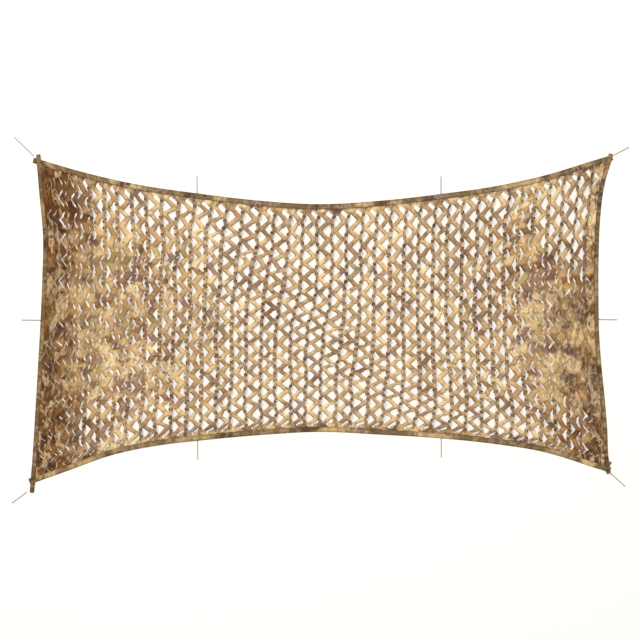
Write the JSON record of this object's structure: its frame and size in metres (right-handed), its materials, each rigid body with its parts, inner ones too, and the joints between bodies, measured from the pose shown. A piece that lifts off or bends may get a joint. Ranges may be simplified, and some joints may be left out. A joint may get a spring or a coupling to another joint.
{
  "type": "camouflage netting",
  "caption": "Rectangular camouflage net spread flat: slit woven cloth in sand and brown blotches, taped edges hollowed in by tension, and short cord ties at the corners and along each side.",
  "frame": {"origin": "on the surface the net lies on, under the middle of the net's box without its ties", "axes": "+X along the long sides, +Y up the net as seen face on, +Z out of the net's face, away from the surface"},
  "size_m": [3.2747, 1.9448, 0.0235],
  "materials": {
    "cloth": "matt printed plain-weave polyester in sand, khaki and two browns",
    "binding": "matt folded edge tape in the same print, stitched near its inner edge",
    "cord": "pale grey-beige braided cord with sealed tips"
  },
  "bodies": {
    "root": {"net_cloth": "cloth", "binding_upper": "binding", "binding_lower": "binding", "binding_left": "binding", "binding_right": "binding", "tie_upper_left": "cord", "tie_upper_right": "cord", "tie_lower_left": "cord", "tie_lower_right": "cord", "tie_left": "cord", "tie_right": "cord", "tie_corner_upper_left": "cord", "tie_corner_upper_right": "cord", "tie_corner_lower_left": "cord", "tie_corner_lower_right": "cord"}
  },
  "joints": []
}
